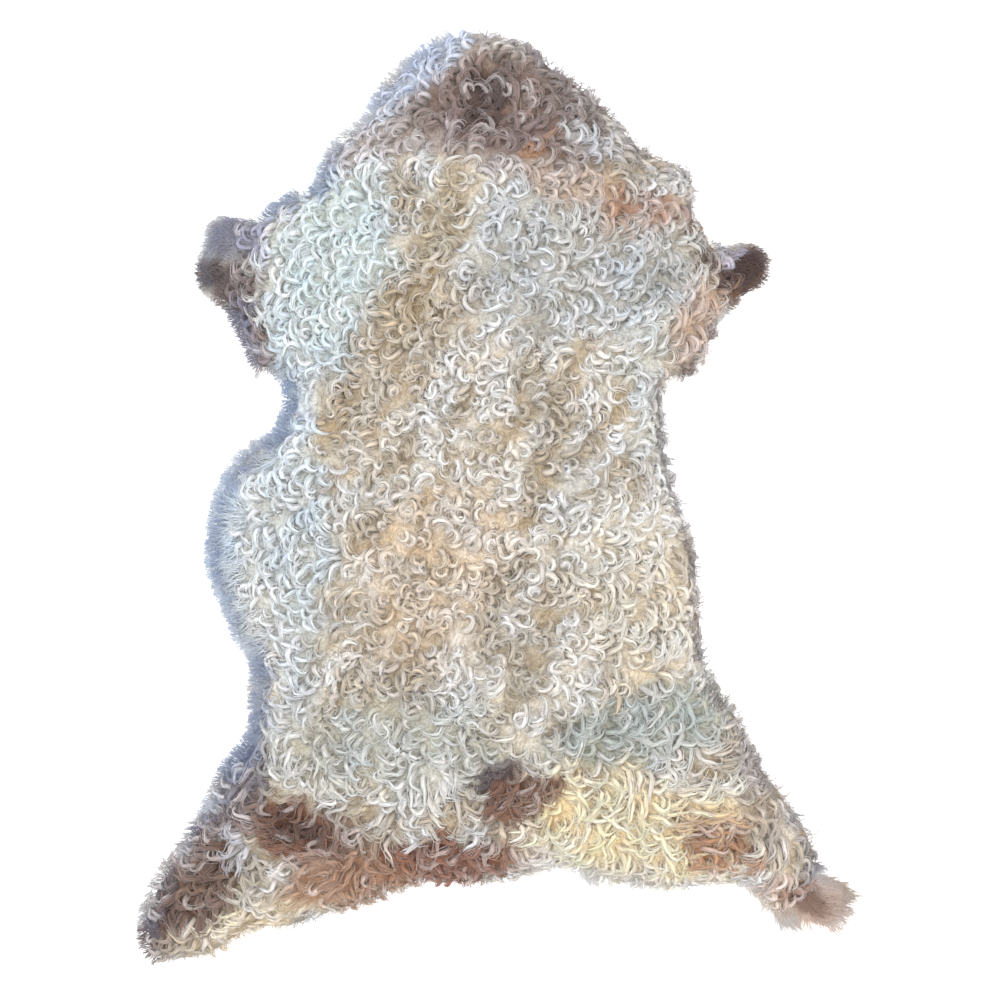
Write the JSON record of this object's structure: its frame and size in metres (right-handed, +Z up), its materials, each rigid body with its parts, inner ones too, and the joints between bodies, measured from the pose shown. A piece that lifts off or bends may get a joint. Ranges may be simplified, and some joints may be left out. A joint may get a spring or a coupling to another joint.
{
  "type": "lambskin",
  "caption": "Curly lambskin rug laid flat: a tanned hide in the outline of the whole skin, with a lumpy curly fleece on it and wool locks round its rim.",
  "frame": {"origin": "middle of the footprint, on the surface that the skin lies on", "axes": "+Y along the skin from the rump to the neck, +X to the right foreleg as seen from above with the neck up, +Z up out of the fleece"},
  "size_m": [0.7106, 0.9372, 0.0483],
  "materials": {
    "hide": "matt suede, natural tan",
    "wool": "curly natural wool, cream with brown patches"
  },
  "bodies": {
    "root": {"hide": "hide", "fleece": "wool"}
  },
  "joints": []
}
